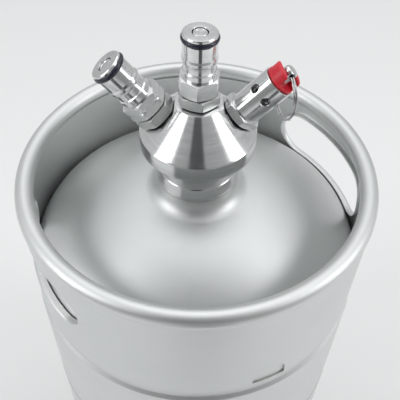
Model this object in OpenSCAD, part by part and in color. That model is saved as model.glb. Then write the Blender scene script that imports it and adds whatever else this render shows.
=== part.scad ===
// Beer keg of about 10 litres with a threaded neck, closed by a tapping cap.
// The cap carries a beer post, a gas post and a pull-ring relief valve.
// Z is up, the origin is on the floor on the keg's axis, and units are millimetres.

/* [Shell] */
// Outer radius of the keg's cylinder
shell_r = 109; // [108:0.5:112]
// Thickness of the pressed stainless sheet
sheet_t = 1.2; // [1:0.1:1.5]
// Height at which the lower head's knuckle meets its straight flange
low_tangent_z = 65; // [62:1:70]
// Height at which the upper head's knuckle meets its straight flange
top_tangent_z = 281; // [281:1:281]
// Outer radius of each head's knuckle
knuckle_r = 25; // [22:1:28]
// Outer radius of each head's crown
crown_r = 150; // [145:1:155]
// Outer radius of the joggled flange that the chimes slip over
flange_r = 106.85; // [106.5:0.05:106.9]
// Length of the joggled flange, from the tangent to the start of its step
flange_h = 21; // [19:1:24]
// Width of the weld round the middle
seam_w = 2.4; // [2:0.2:4]

/* [Chimes] */
// Outer radius of the chime walls
chime_r = 108.15; // [108.1:0.05:108.3]
// How far each chime reaches past the head's tangent
chime_lap = 10.5; // [8:0.5:12]
// Radius of the rolled bead's section
bead_r = 5.4; // [5:0.1:5.8]
// Radius of the circle that the bead follows
bead_ring_r = 103.8; // [103.5:0.1:104]
// Height of the top bead's centre
top_bead_z = 345; // [340:1:350]
// Width of the flat land under the foot
foot_land_w = 4; // [3:0.5:5]
// Direction of the first handle hole, in degrees from +X
handle_dir = 25; // [0:5:45]
// Width of a handle hole
handle_w = 92; // [80:1:100]
// Height of a handle hole
handle_h = 31; // [26:1:34]
// Height of the handle holes' centre
handle_z = 311.4; // [308:0.2:314]
// How far a handle hole's lip is turned inward
lip_depth = 3.7; // [3:0.1:3.9]
// Direction of the first drain notch, in degrees from +X
drain_dir = -67.5; // [-75:0.5:-60]
// Width of a drain notch
drain_w = 21; // [16:1:24]
// Height of a drain notch
drain_h = 16; // [12:1:18]

/* [Neck] */
// Outer radius of the neck where it is welded to the head
neck_weld_r = 24.6; // [24.4:0.1:25]
// Fillet between the head and the neck
neck_fillet_r = 10; // [8:1:12]
// Outer radius of the plain neck
neck_r = 22.6; // [22.4:0.1:22.8]
// Radius over the neck's thread
thread_r = 22.2; // [22.2:0.01:22.25]
// Radius of the neck's bore
neck_bore_r = 18; // [17.5:0.1:18.2]
// Height of the neck's top face
neck_top_z = 378.5; // [378:0.5:379]

/* [Cap] */
// Outer radius of the cap's band
cap_r = 33.6; // [33:0.1:35]
// Height of the cap's lower edge
cap_low_z = 369.8; // [369:0.1:370]
// Height of the cap's band
cap_band_h = 10.5; // [10:0.1:11]
// Radius of the cap's flat top
cap_top_r = 13.3; // [13:0.1:14]
// Height of the cap's flat top
cap_top_z = 399; // [398.5:0.1:399.5]
// Height of the face that clamps the gasket
cap_roof_z = 380.5; // [380.2:0.1:381]
// Radius of the gas space above the neck
cap_space_r = 18.2; // [18:0.1:18.4]
// Height of the gas space's ceiling
cap_space_z = 387; // [386.5:0.1:387.2]

/* [Fittings] */
// Tilt of the gas post from vertical
gas_tilt = 38.5; // [38:0.1:40]
// Tilt of the relief valve from vertical
relief_tilt = 41.5; // [40:0.1:42]
// Distance from the keg's axis to the middle of each side fitting's seat
side_seat_r = 22.1; // [21.8:0.1:22.6]
// Height of the middle of each side fitting's seat
side_seat_z = 389.2; // [388.8:0.1:389.5]
// Radius of the spot faces that the side fittings sit on
spot_r = 13.2; // [12.5:0.1:13.2]
// Thickness of the washer under each fitting
washer_t = 0.7; // [0.5:0.1:0.8]
// Size across the flats of the hexagons
hex_af = 21; // [20:0.5:21.5]
// Radius of the fittings' threaded stubs
stub_r = 6; // [5.8:0.1:6]
// Radius of the post's sealing cylinder
post_r = 9.2; // [9:0.05:9.3]
// Height of a post above its washer
post_h = 42.6; // [42:0.2:43]
// Outer radius of the beer tube
beer_tube_r = 4; // [3.8:0.1:4]
// Outer radius of the gas tube
gas_tube_r = 3; // [2.5:0.1:3]
// Height of the beer tube's lower end above the floor
beer_tube_low_z = 17; // [14:1:30]
// Radius of the poppets' pins
poppet_r = 3.8; // [3.6:0.1:3.8]

/* [Relief valve] */
// Outer radius of the relief valve's body
relief_r = 9.35; // [9:0.05:9.6]
// Height of the relief valve's body above its washer
relief_h = 29.8; // [29.5:0.1:30]
// Radius of the vent holes
vent_r = 2.5; // [2:0.1:2.8]
// Height of the vent holes' axes above the washer
vent_h = 19.8; // [19:0.1:20.5]
// Direction of the first vent hole round the valve's axis
vent_dir = 23; // [0:1:59]
// Radius of the relief valve's stem
stem_r = 3; // [2.8:0.1:3]
// Radius of the stem's head
stem_head_r = 4; // [3.8:0.1:4.2]
// Outer radius of the knob
knob_r = 8.7; // [8.6:0.1:8.8]
// Height of the knob's top above the washer
knob_top_h = 37.9; // [37:0.1:38.5]
// Width of the knob's slot
slot_w = 10.4; // [10:0.1:10.6]
// Angle of the knob's slot round the valve's axis
slot_dir = 20; // [18:1:20]
// Height of the eye in the stem's head above the washer
eye_h = 37.3; // [37.2:0.1:37.6]
// Direction that the pull ring faces, in degrees from +X
eye_dir = 15; // [14:0.5:15.5]
// Radius of the circle that the pull ring's wire follows
ring_r = 13.9; // [13.7:0.1:14.2]
// Radius of the pull ring's wire
ring_wire_r = 0.6; // [0.5:0.05:0.62]
// Angle at which the pull ring hangs in towards the keg
ring_lean = 3.5; // [3:0.1:3.6]

/* [Hidden] */

$fn = 64;
// Overlap that keeps cuts and joins clear of shared faces
eps = 0.05;
// Assembly gap between pieces that are fixed to each other
slack = 0.05;
// Height of the seam between the two halves of the shell
seam_z = (low_tangent_z + top_tangent_z) / 2;
// Axial length of the joggle's step
step_h = 2.5;
// Radius of the circle on which the knuckle's centre lies
knuckle_c = flange_r - knuckle_r;
// Depth of the crown's centre below the tangent
crown_drop = sqrt(pow(crown_r - knuckle_r, 2) - pow(knuckle_c, 2));
// Slope at which the knuckle runs into the crown
knuckle_a = atan2(crown_drop, knuckle_c);
// Radius of the circle on which the neck fillet's centre lies
fillet_c = neck_weld_r + neck_fillet_r;
// Angle on the crown at which the neck fillet starts
fillet_a = acos(fillet_c / (crown_r + neck_fillet_r));
// Height of the neck fillet's centre above the tangent
fillet_h = (crown_r + neck_fillet_r) * sin(fillet_a) - crown_drop;
// Height of the joint between the head and the neck
neck_weld_z = top_tangent_z + fillet_h + 0.7;
// Height of the neck weld's band
neck_weld_h = 0.8;
// Height of the bottom bead's centre
foot_bead_z = sqrt(pow(bead_r, 2) - pow(foot_land_w / 2, 2));
// Heights at which the chimes end on the shell
top_chime_z = top_tangent_z - chime_lap;
bottom_chime_z = low_tangent_z + chime_lap;
// Size across the corners of the hexagons, as a radius
hex_r = hex_af / sqrt(3);
// Depth of the side fittings' stubs
stub_h = 3.4;
// Heights of a post's steps above its washer
adapter_h = 6.4;
hex_low = 7.2;
hex_top = 17.2;
ring_top = 21.3;
groove_top = 25.9;
shoulder_top = 30.3;
seal_low = 38;
seal_top = 41.1;
flange_top = 42.1;
// Height of the tube's flange in the post
tube_flange_h = 16.1;
tube_flange_t = 0.8;
// Height of the sealing face inside the post
valve_h = 36.5;
// Underside of the poppet's flange
poppet_flange_h = 33;
// Heights above the relief valve's washer
relief_hex_top = 4.9;
relief_seat_h = 6.4;
relief_holder_h = 8.8;
relief_guide_h = 27.3;
knob_low_h = relief_h + 0.3;
knob_disc_h = knob_low_h + 1.7;
stem_top_h = eye_h + 2.7;

// Points of an arc, from angle a0 to angle a1 in n steps
function arc(cx, cy, r, a0, a1, n) =
  [for (i = [0:n]) let (a = a0 + (a1 - a0) * i / n) [cx + r * cos(a), cy + r * sin(a)]];

// Outline of a head's knuckle and crown, set in from the outside by d, up to angle a_end
function head(d, a_end) = concat(
  arc(knuckle_c, 0, knuckle_r - d, 0, knuckle_a, 6),
  arc(0, -crown_drop, crown_r - d, knuckle_a, a_end, 6)
);

// Outline of the cylinder wall and the joggle below a head, set in by d
function wall(d) = [
  [shell_r - d, seam_z - top_tangent_z + seam_w / 2],
  [shell_r - d, -flange_h],
  [flange_r - d, step_h - flange_h]
];

function reversed(list) = [for (i = [len(list) - 1:-1:0]) list[i]];

// Corner points of a helical wire's sections
function coil_points(r, wire, h, turns, per_turn, sides) =
  [for (i = [0:turns * per_turn])
    let (a = 360 * i / per_turn, z = h * i / (turns * per_turn))
    for (k = [0:sides - 1])
      let (b = 360 * k / sides, q = r + wire * cos(b))
      [q * cos(a), q * sin(a), z + wire * sin(b)]];

// A helical wire, standing on z = 0 by its wire's centre
module coil(r, wire, h, turns, per_turn = 20, sides = 8) {
  rings = turns * per_turn;
  sleeve = [for (i = [0:rings - 1]) for (k = [0:sides - 1])
    [i * sides + k, i * sides + (k + 1) % sides,
     (i + 1) * sides + (k + 1) % sides, (i + 1) * sides + k]];
  start = [for (k = [sides - 1:-1:0]) k];
  finish = [for (k = [0:sides - 1]) rings * sides + k];
  polyhedron(
    points = coil_points(r, wire, h, turns, per_turn, sides),
    faces = concat([start], sleeve, [finish])
  );
}

// A straight tube from z0 to z1
module tube(r_out, r_in, z0, z1) {
  difference() {
    translate([0, 0, z0]) cylinder(r = r_out, h = z1 - z0);
    translate([0, 0, z0 - 1]) cylinder(r = r_in, h = z1 - z0 + 2);
  }
}

// A hexagon with chamfered corners from z0 to z1
module hexagon(z0, z1, turn) {
  c = 0.7;
  h = z1 - z0;
  translate([0, 0, z0])
    intersection() {
      rotate([0, 0, turn]) cylinder(r = hex_r, h = h, $fn = 6);
      rotate_extrude()
        polygon([[0, 0], [hex_r - 1.3, 0], [hex_r, c], [hex_r, h - c], [hex_r - 1.3, h], [0, h]]);
    }
}

// A slot with round ends, w wide over all and h high
module slot_outline(w, h) {
  square([w - h, h], center = true);
  translate([(w - h) / 2, 0]) circle(d = h);
  translate([(h - w) / 2, 0]) circle(d = h);
}

// Moves a piece from its seat at the origin to the gas side or the relief side of the cap
module on_gas_side() {
  translate([-side_seat_r, 0, side_seat_z]) rotate([0, -gas_tilt, 0]) children();
}
module on_relief_side() {
  translate([side_seat_r, 0, side_seat_z]) rotate([0, relief_tilt, 0]) children();
}
// Moves a fitting's piece onto its washer on the cap's top, the gas side or the relief side
module on_cap_top() {
  translate([0, 0, cap_top_z + washer_t]) children();
}
module on_gas_seat() {
  on_gas_side() translate([0, 0, washer_t]) children();
}
module on_relief_seat() {
  on_relief_side() translate([0, 0, washer_t]) children();
}
// Moves a piece to the eye in the stem's head, upright and facing as the pull ring does
module at_eye() {
  eye_s = washer_t + eye_h;
  translate([side_seat_r + eye_s * sin(relief_tilt), 0, side_seat_z + eye_s * cos(relief_tilt)])
    rotate([0, 0, eye_dir])
      children();
}

// ---- Shell and chimes ----

// Section of a chime: its wall and its rolled bead, with the bead's centre at z = 0
module chime_section(wall_h) {
  difference() {
    union() {
      translate([chime_r - sheet_t, -wall_h]) square([sheet_t, wall_h - 2.8]);
      translate([bead_ring_r, 0]) circle(r = bead_r);
    }
    translate([bead_ring_r, 0]) circle(r = bead_r - sheet_t);
    // The slit where the rolled edge ends against the wall
    translate([bead_ring_r, 0]) rotate(-61) translate([bead_r - 2, 0]) square([2.1, 0.5]);
  }
}

// The lip round a handle hole
module handle_lip() {
  intersection() {
    rotate([90, 0, 90])
      linear_extrude(chime_r + 1)
        slot_outline(handle_w + 2 * sheet_t, handle_h + 2 * sheet_t);
    difference() {
      cylinder(r = chime_r - 0.15, h = 2 * handle_h, center = true);
      cylinder(r = chime_r - sheet_t - lip_depth, h = 2 * handle_h + 2, center = true);
    }
  }
}

module drain_cut() {
  rotate([90, 0, 90])
    linear_extrude(chime_r + 5) {
      translate([0, drain_h - drain_w / 2]) circle(d = drain_w);
      translate([-drain_w / 2, -5]) square([drain_w, drain_h - drain_w / 2 + 5]);
    }
}

module top_chime() {
  color("gainsboro")
    difference() {
      union() {
        translate([0, 0, top_bead_z])
          rotate_extrude() chime_section(top_bead_z - top_chime_z);
        for (side = [0, 180])
          rotate([0, 0, handle_dir + side]) translate([0, 0, handle_z]) handle_lip();
      }
      for (side = [0, 180]) {
        rotate([0, 0, handle_dir + side])
          translate([0, 0, handle_z])
            rotate([90, 0, 90])
              linear_extrude(chime_r + 5) slot_outline(handle_w, handle_h);
        rotate([0, 0, drain_dir + side]) translate([0, 0, top_chime_z]) drain_cut();
      }
    }
}

module bottom_chime() {
  color("gainsboro")
    difference() {
      translate([0, 0, foot_bead_z])
        mirror([0, 0, 1])
          rotate_extrude() chime_section(bottom_chime_z - foot_bead_z);
      translate([0, 0, -bead_r]) cylinder(r = shell_r + 5, h = bead_r);
    }
}

module upper_shell() {
  outside = concat(
    wall(0),
    head(0, fillet_a),
    arc(fillet_c, fillet_h, neck_fillet_r, fillet_a + 180, 180, 6),
    [[neck_weld_r, neck_weld_z - top_tangent_z]]
  );
  inside = concat(
    wall(sheet_t),
    head(sheet_t, fillet_a),
    arc(fillet_c, fillet_h, neck_fillet_r + sheet_t, fillet_a + 180, 180, 6),
    [[neck_weld_r - sheet_t, neck_weld_z - top_tangent_z]]
  );
  color("silver")
    translate([0, 0, top_tangent_z])
      rotate_extrude() polygon(concat(outside, reversed(inside)));
}

module lower_shell() {
  outside = concat(wall(0), head(0, 90));
  inside = concat(wall(sheet_t), head(sheet_t, 90));
  color("silver")
    translate([0, 0, low_tangent_z])
      mirror([0, 0, 1])
        rotate_extrude() polygon(concat(outside, reversed(inside)));
}

module middle_weld() {
  half = seam_w / 2;
  crown = 0.2;
  color("darkgray")
    translate([0, 0, seam_z])
      rotate_extrude()
        polygon([
          [shell_r - sheet_t, -half], [shell_r, -half], [shell_r + crown, -half / 2],
          [shell_r + crown, half / 2], [shell_r, half], [shell_r - sheet_t, half]
        ]);
}

// Fillet weld under a chime's edge, with the edge at z = 0 and the weld below it
module edge_weld() {
  leg = 1.1;
  rotate_extrude()
    polygon([[flange_r, -leg], [flange_r + leg, 0], [flange_r, 0]]);
}

module top_chime_weld() {
  color("darkgray") translate([0, 0, top_chime_z]) edge_weld();
}

module bottom_chime_weld() {
  color("darkgray") translate([0, 0, bottom_chime_z]) mirror([0, 0, 1]) edge_weld();
}

// ---- Neck ----

module neck_collar() {
  shoulder_z = neck_weld_z + neck_weld_h;
  spigot_r = neck_weld_r - sheet_t - 2 * slack;
  color("silver")
    rotate_extrude()
      polygon([
        [neck_bore_r, shoulder_z - 6], [spigot_r, shoulder_z - 6], [spigot_r, shoulder_z],
        [neck_weld_r, shoulder_z], [neck_weld_r - 0.2, shoulder_z + 1.5],
        [neck_r + 0.6, shoulder_z + 7.4], [neck_r, shoulder_z + 8],
        [neck_r, cap_low_z - 2], [thread_r, cap_low_z - 1.6],
        [thread_r, neck_top_z - 0.7], [thread_r - 0.7, neck_top_z], [neck_bore_r, neck_top_z]
      ]);
}

module neck_weld() {
  color("darkgray")
    rotate_extrude()
      translate([neck_weld_r - sheet_t, neck_weld_z])
        square([sheet_t + 0.15, neck_weld_h]);
}

// ---- Cap ----

module cap_gasket() {
  color([0.9, 0.9, 0.87]) tube(thread_r - 0.1, neck_bore_r + 0.5, neck_top_z + 0.1, cap_roof_z - 0.1);
}

// Cuts for one side fitting: spot face, stub hole and gas way
module side_cuts() {
  cylinder(r = spot_r, h = 20);
  translate([0, 0, -stub_h - 0.1]) cylinder(r = stub_r + slack, h = 10);
  translate([0, 0, -stub_h - 3.6]) cylinder(r = gas_tube_r + 0.3, h = 10);
}

module tap_cap() {
  band_top = cap_low_z + cap_band_h;
  color("gainsboro")
    difference() {
      rotate_extrude()
        polygon([
          [0, cap_low_z], [cap_r - 0.6, cap_low_z], [cap_r, cap_low_z + 0.6],
          [cap_r, band_top - 0.8], [cap_r - 0.7, band_top],
          [cap_top_r + 0.7, cap_top_z - 0.6], [cap_top_r, cap_top_z], [0, cap_top_z]
        ]);
      translate([0, 0, cap_low_z - 1]) cylinder(r = thread_r + 0.08, h = cap_roof_z - cap_low_z + 1);
      translate([0, 0, cap_low_z - eps]) cylinder(r1 = thread_r + 1.2, r2 = thread_r, h = 1.2);
      translate([0, 0, cap_roof_z - 1]) cylinder(r = cap_space_r, h = cap_space_z - cap_roof_z + 1);
      translate([0, 0, cap_space_z - 1]) cylinder(r = stub_r + slack, h = 20);
      on_gas_side() side_cuts();
      on_relief_side() side_cuts();
    }
}

// ---- Posts ----

// Thin washer under a fitting, with its top at z = 0
module seat_washer() {
  color("dimgray") tube(hex_af / 2 - 0.5, stub_r + 0.1, -washer_t, 0);
}

// Lower hexagon with the stub that screws into the cap and the spigot that takes the post
module adapter(stub_len, bore_r, turn) {
  spigot_top = tube_flange_h - 0.1;
  well = 1.7;
  color("silver")
    difference() {
      union() {
        translate([0, 0, -stub_len]) cylinder(r = stub_r, h = stub_len + 1);
        hexagon(0, adapter_h, turn);
        translate([0, 0, adapter_h - 1]) cylinder(r = 9, h = hex_low - adapter_h + 0.9);
        cylinder(r = 7, h = spigot_top);
      }
      translate([0, 0, -stub_len - 1]) cylinder(r = bore_r, h = stub_len + spigot_top + 2);
      translate([0, 0, spigot_top - well]) cylinder(r = bore_r + 1.6, h = well + 1);
    }
}

// The post's body: a hexagon, a locking groove, a shoulder and an O-ring groove
module post_shape(turn) {
  difference() {
    union() {
      hexagon(hex_low, hex_top, turn);
      rotate_extrude()
        polygon(concat(
          [
            [0, hex_top - 1], [post_r + 0.1, hex_top - 1], [post_r + 0.1, ring_top - 0.3],
            [post_r - 0.2, ring_top], [post_r - 0.7, ring_top + 0.3],
            [post_r - 0.7, groove_top - 0.4]
          ],
          arc(post_r - 0.7, (groove_top + shoulder_top) / 2, 1.2, -75, 75, 6),
          [
            [post_r, shoulder_top + 0.3], [post_r, seal_low], [post_r - 1.2, seal_low],
            [post_r - 1.2, seal_top], [post_r + 0.15, seal_top],
            [post_r + 0.15, flange_top], [post_r - 0.3, post_h], [0, post_h]
          ]
        ));
    }
    translate([0, 0, hex_low - 1]) cylinder(r = 7.05, h = hex_top - hex_low + 1);
    translate([0, 0, hex_low]) cylinder(r = 6, h = valve_h - hex_low);
    translate([0, 0, hex_low]) cylinder(r = poppet_r + 0.35, h = post_h);
  }
}

// Rubber ring in the groove near a post's tip
module post_seal_shape() {
  section_r = (seal_top - seal_low) / 2 - 0.1;
  color([0.06, 0.07, 0.12])
    translate([0, 0, (seal_low + seal_top) / 2])
      rotate_extrude()
        intersection() {
          translate([post_r + 0.9 - section_r, 0]) circle(r = section_r);
          translate([post_r - 1.2 + slack, -section_r]) square(2 * section_r);
        }
}

// A tube that hangs from a flange clamped between the adapter and the post
module tube_shape(r, low_h) {
  difference() {
    union() {
      translate([0, 0, low_h]) cylinder(r = r, h = tube_flange_h - low_h + 0.1);
      translate([0, 0, tube_flange_h]) cylinder(r = 5.7, h = tube_flange_t);
    }
    translate([0, 0, low_h - 1]) cylinder(r = r - 0.8, h = tube_flange_h - low_h + 3);
  }
}

// Rubber ring under a tube's flange
module tube_seal_shape(r) {
  color([0.08, 0.08, 0.1])
    translate([0, 0, tube_flange_h - 1])
      rotate_extrude() translate([r + 0.85, 0]) circle(r = 0.72);
}

// Spring-loaded plug that closes the post
module poppet_shape() {
  color("silver") {
    translate([0, 0, poppet_flange_h - 4]) cylinder(r = 2.6, h = 4.5);
    translate([0, 0, poppet_flange_h]) cylinder(r = 5.5, h = 2);
    translate([0, 0, poppet_flange_h + 1]) cylinder(r = poppet_r, h = post_h - poppet_flange_h - 1.5);
    translate([0, 0, post_h - 0.5]) cylinder(r1 = poppet_r, r2 = poppet_r - 0.3, h = 0.3);
  }
}

module poppet_seal_shape() {
  color([0.1, 0.1, 0.12])
    tube(5.4, poppet_r + slack, poppet_flange_h + 2, valve_h - 0.3);
}

module poppet_spring_shape() {
  wire = 0.45;
  low = tube_flange_h + tube_flange_t + wire + 0.05;
  color("silver")
    translate([0, 0, low]) coil(4.4, wire, poppet_flange_h - low - wire - 0.05, 6);
}

// Directions of the hexagons' corners round each fitting's axis
beer_turn = 24;
beer_adapter_turn = 38;
gas_turn = 30;

module beer_washer() {
  on_cap_top() seat_washer();
}
module beer_adapter() {
  on_cap_top() adapter(cap_top_z + washer_t - cap_space_z, beer_tube_r + 0.1, beer_adapter_turn);
}
module beer_post() {
  color("gainsboro") on_cap_top() post_shape(beer_turn);
}
module beer_post_seal() {
  on_cap_top() post_seal_shape();
}
module beer_tube() {
  color("silver")
    on_cap_top() tube_shape(beer_tube_r, beer_tube_low_z - cap_top_z - washer_t);
}
module beer_tube_seal() {
  on_cap_top() tube_seal_shape(beer_tube_r);
}
module beer_poppet() {
  on_cap_top() poppet_shape();
}
module beer_poppet_seal() {
  on_cap_top() poppet_seal_shape();
}
module beer_spring() {
  on_cap_top() poppet_spring_shape();
}

module gas_washer() {
  on_gas_seat() seat_washer();
}
module gas_adapter() {
  on_gas_seat() adapter(stub_h + washer_t, gas_tube_r + 0.1, gas_turn);
}
// The gas post is told apart by a notch across each corner of its hexagon
module gas_post() {
  mid = (hex_low + hex_top) / 2;
  color("gainsboro")
    on_gas_seat()
      difference() {
        post_shape(gas_turn);
        rotate_extrude()
          polygon([[hex_r + 1, mid - 2], [hex_r + 1, mid + 2], [hex_r - 1, mid]]);
      }
}
module gas_post_seal() {
  on_gas_seat() post_seal_shape();
}
module gas_tube() {
  color("silver") on_gas_seat() tube_shape(gas_tube_r, -stub_h - washer_t - 3);
}
module gas_tube_seal() {
  on_gas_seat() tube_seal_shape(gas_tube_r);
}
module gas_poppet() {
  on_gas_seat() poppet_shape();
}
module gas_poppet_seal() {
  on_gas_seat() poppet_seal_shape();
}
module gas_spring() {
  on_gas_seat() poppet_spring_shape();
}

// ---- Relief valve ----

module relief_washer() {
  on_relief_seat() seat_washer();
}

module relief_body() {
  chamber_r = 7.6;
  color("gainsboro")
    on_relief_seat()
      difference() {
        union() {
          translate([0, 0, -stub_h - washer_t]) cylinder(r = stub_r, h = stub_h + washer_t + 1);
          hexagon(0, relief_hex_top, vent_dir);
          translate([0, 0, relief_hex_top - 1])
            cylinder(r = relief_r, h = relief_h - relief_hex_top + 1);
        }
        translate([0, 0, -stub_h - washer_t - 1]) cylinder(r = 2.5, h = 20);
        translate([0, 0, relief_seat_h])
          cylinder(r = chamber_r, h = relief_guide_h - relief_seat_h);
        translate([0, 0, relief_guide_h - 1]) cylinder(r = stem_r + 0.06, h = 10);
        for (k = [0:2])
          translate([0, 0, vent_h])
            rotate([0, 0, vent_dir + 60 * k])
              rotate([0, 90, 0]) cylinder(r = vent_r, h = 40, center = true);
      }
}

module relief_seal() {
  color([0.1, 0.1, 0.12])
    on_relief_seat()
      translate([0, 0, relief_seat_h + 0.3])
        cylinder(r = 6.6, h = relief_holder_h - relief_seat_h - 0.3);
}

// The holder, shaft and head of the relief valve's pin, with the eye across its head
module relief_stem() {
  head_low = knob_disc_h + 0.05;
  color("silver")
    difference() {
      on_relief_seat() {
        translate([0, 0, relief_holder_h]) cylinder(r = 6.9, h = 1.6);
        translate([0, 0, relief_holder_h + 1])
          cylinder(r = stem_r, h = head_low - relief_holder_h);
        translate([0, 0, head_low]) cylinder(r = stem_head_r, h = stem_top_h - head_low - 0.5);
        translate([0, 0, stem_top_h - 0.5])
          cylinder(r1 = stem_head_r, r2 = stem_head_r - 0.5, h = 0.5);
      }
      at_eye() rotate([90, 0, 0]) cylinder(r = 1.9, h = 20, center = true);
    }
}

module relief_spring() {
  wire = 0.5;
  low = relief_holder_h + 1.6 + wire + 0.05;
  color("silver")
    on_relief_seat()
      translate([0, 0, low]) coil(5.2, wire, relief_guide_h - low - wire - 0.05, 7);
}

// A disc with two rounded lobes and a wide slot between them
module relief_knob() {
  lobe_r = knob_r - 0.4;
  round_r = 1.4;
  color([0.85, 0.13, 0.18])
    on_relief_seat()
      rotate([0, 0, slot_dir])
        difference() {
          rotate_extrude()
            polygon(concat(
              [
                [0, knob_low_h], [knob_r - 0.3, knob_low_h], [knob_r, knob_low_h + 0.3],
                [knob_r, knob_disc_h - 0.3], [lobe_r, knob_disc_h]
              ],
              arc(lobe_r - round_r, knob_top_h - round_r, round_r, 0, 90, 6),
              [[0, knob_top_h]]
            ));
          translate([0, 0, knob_low_h - 1]) cylinder(r = stem_r + 0.06, h = 20);
          translate([-slot_w / 2, -20, knob_disc_h]) cube([slot_w, 40, 20]);
        }
}

// A split ring of two close turns, hanging from the stem's eye
module pull_ring() {
  lead = 2 * ring_wire_r + 0.06;
  color("silver")
    at_eye()
      rotate([0, ring_lean, 0])
        translate([0, 0, -ring_r])
          rotate([0, 90, 0])
            translate([0, 0, -lead]) coil(ring_r, ring_wire_r, 2 * lead, 2, 36, 10);
}

top_chime();
upper_shell();
lower_shell();
bottom_chime();
middle_weld();
top_chime_weld();
bottom_chime_weld();
neck_collar();
neck_weld();
cap_gasket();
tap_cap();
beer_washer();
beer_adapter();
beer_post();
beer_post_seal();
beer_tube();
beer_tube_seal();
beer_poppet();
beer_poppet_seal();
beer_spring();
gas_washer();
gas_adapter();
gas_post();
gas_post_seal();
gas_tube();
gas_tube_seal();
gas_poppet();
gas_poppet_seal();
gas_spring();
relief_washer();
relief_body();
relief_stem();
relief_seal();
relief_spring();
relief_knob();
pull_ring();
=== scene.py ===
"""Looks of the small beer keg: its chimes, shell, neck, tapping cap and fittings.

Lengths are in millimetres in the tables and formulas below, and in metres in the meshes.
"""
import math

import bmesh
import bpy
from mathutils import Matrix, Vector


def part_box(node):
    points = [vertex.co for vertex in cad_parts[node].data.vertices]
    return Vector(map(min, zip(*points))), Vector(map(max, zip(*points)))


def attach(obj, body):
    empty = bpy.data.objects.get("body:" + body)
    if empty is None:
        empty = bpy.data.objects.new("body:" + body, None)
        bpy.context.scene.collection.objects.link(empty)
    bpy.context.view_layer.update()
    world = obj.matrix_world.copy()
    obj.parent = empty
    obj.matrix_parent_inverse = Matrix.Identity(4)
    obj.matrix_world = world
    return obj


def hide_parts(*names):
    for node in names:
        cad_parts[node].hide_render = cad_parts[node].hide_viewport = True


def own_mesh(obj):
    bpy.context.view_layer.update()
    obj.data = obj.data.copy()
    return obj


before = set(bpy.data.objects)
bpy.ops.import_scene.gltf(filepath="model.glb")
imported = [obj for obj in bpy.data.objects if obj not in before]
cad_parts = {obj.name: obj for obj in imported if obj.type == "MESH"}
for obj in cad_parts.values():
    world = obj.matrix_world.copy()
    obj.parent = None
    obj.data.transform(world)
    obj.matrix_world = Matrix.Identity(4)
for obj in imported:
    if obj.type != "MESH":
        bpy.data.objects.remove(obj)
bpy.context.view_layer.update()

MM = 0.001


def low(node):
    """Lowest corner of a CAD node, in millimetres."""
    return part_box(node)[0] / MM


def high(node):
    """Highest corner of a CAD node, in millimetres."""
    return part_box(node)[1] / MM


def add_object(name, data):
    thing = bpy.data.objects.new(name, data)
    bpy.context.scene.collection.objects.link(thing)
    return thing


# ---------------------------------------------------------------- camera, light and floor

CAMERA_PLACE = (-0.00912, -0.26388, 0.61024)
CAMERA_YAW, CAMERA_PITCH, CAMERA_ROLL = 0.0425, 0.8353, 0.0273
CAMERA_LENS = 55.04


def add_camera():
    """The camera, turned by yaw from +Y, then down by pitch, then rolled. Angles are in radians."""
    data = bpy.data.cameras.new("camera")
    camera = add_object("camera", data)
    yaw, pitch, roll = CAMERA_YAW, CAMERA_PITCH, CAMERA_ROLL
    level = math.cos(pitch)
    forward = Vector((math.sin(yaw) * level, math.cos(yaw) * level, -math.sin(pitch)))
    right = Vector((math.cos(yaw), -math.sin(yaw), 0))
    up = right.cross(forward)
    side = right * math.cos(roll) + up * math.sin(roll)
    top = up * math.cos(roll) - right * math.sin(roll)
    turn = Matrix((side, top, -forward)).transposed().to_4x4()
    camera.matrix_world = Matrix.Translation(CAMERA_PLACE) @ turn
    data.sensor_width = 36
    data.lens = CAMERA_LENS
    data.clip_start = 0.01
    data.clip_end = 50
    bpy.context.scene.camera = camera


LIT_POINT = (0, 0, 0.3)


def add_area(name, place, size, power):
    """A rectangular lamp, aimed at the keg's shoulder."""
    data = bpy.data.lights.new(name, "AREA")
    data.shape = "RECTANGLE"
    data.size, data.size_y = size
    data.energy = power
    light = add_object(name, data)
    light.location = place
    light.rotation_euler = (Vector(LIT_POINT) - Vector(place)).to_track_quat("-Z", "Y").to_euler()


RANGE_SOCKETS = ("From Min", "From Max", "To Min", "To Max")


def add_world():
    """A pale studio: bright overhead and behind the keg, and darker on the camera's side."""
    world = bpy.data.worlds.new("studio")
    bpy.context.scene.world = world
    world.use_nodes = True
    tree = world.node_tree
    nodes, links = tree.nodes, tree.links
    nodes.clear()
    out = nodes.new("ShaderNodeOutputWorld")
    back = nodes.new("ShaderNodeBackground")
    split = nodes.new("ShaderNodeSeparateXYZ")
    place = nodes.new("ShaderNodeTexCoord")
    height = nodes.new("ShaderNodeValToRGB")
    depth = nodes.new("ShaderNodeMapRange")
    mix = nodes.new("ShaderNodeMix")
    mix.data_type = "RGBA"
    mix.blend_type = "MULTIPLY"
    mix.inputs["Factor"].default_value = 1.0
    links.new(place.outputs["Generated"], split.inputs[0])
    links.new(split.outputs["Z"], height.inputs[0])
    links.new(split.outputs["Y"], depth.inputs["Value"])
    depth.interpolation_type = "SMOOTHSTEP"
    for socket, value in zip(RANGE_SOCKETS, (-0.75, 0.15, 0.5, 1.0)):
        depth.inputs[socket].default_value = value
    links.new(height.outputs[0], mix.inputs[6])
    links.new(depth.outputs[0], mix.inputs[7])
    links.new(mix.outputs[2], back.inputs["Color"])
    links.new(back.outputs[0], out.inputs[0])
    ramp = height.color_ramp
    ramp.elements[0].position = 0.0
    ramp.elements[0].color = (0.6, 0.61, 0.61, 1)
    ramp.elements[1].position = 0.8
    ramp.elements[1].color = (0.86, 0.87, 0.88, 1)
    back.inputs["Strength"].default_value = 0.83


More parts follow.
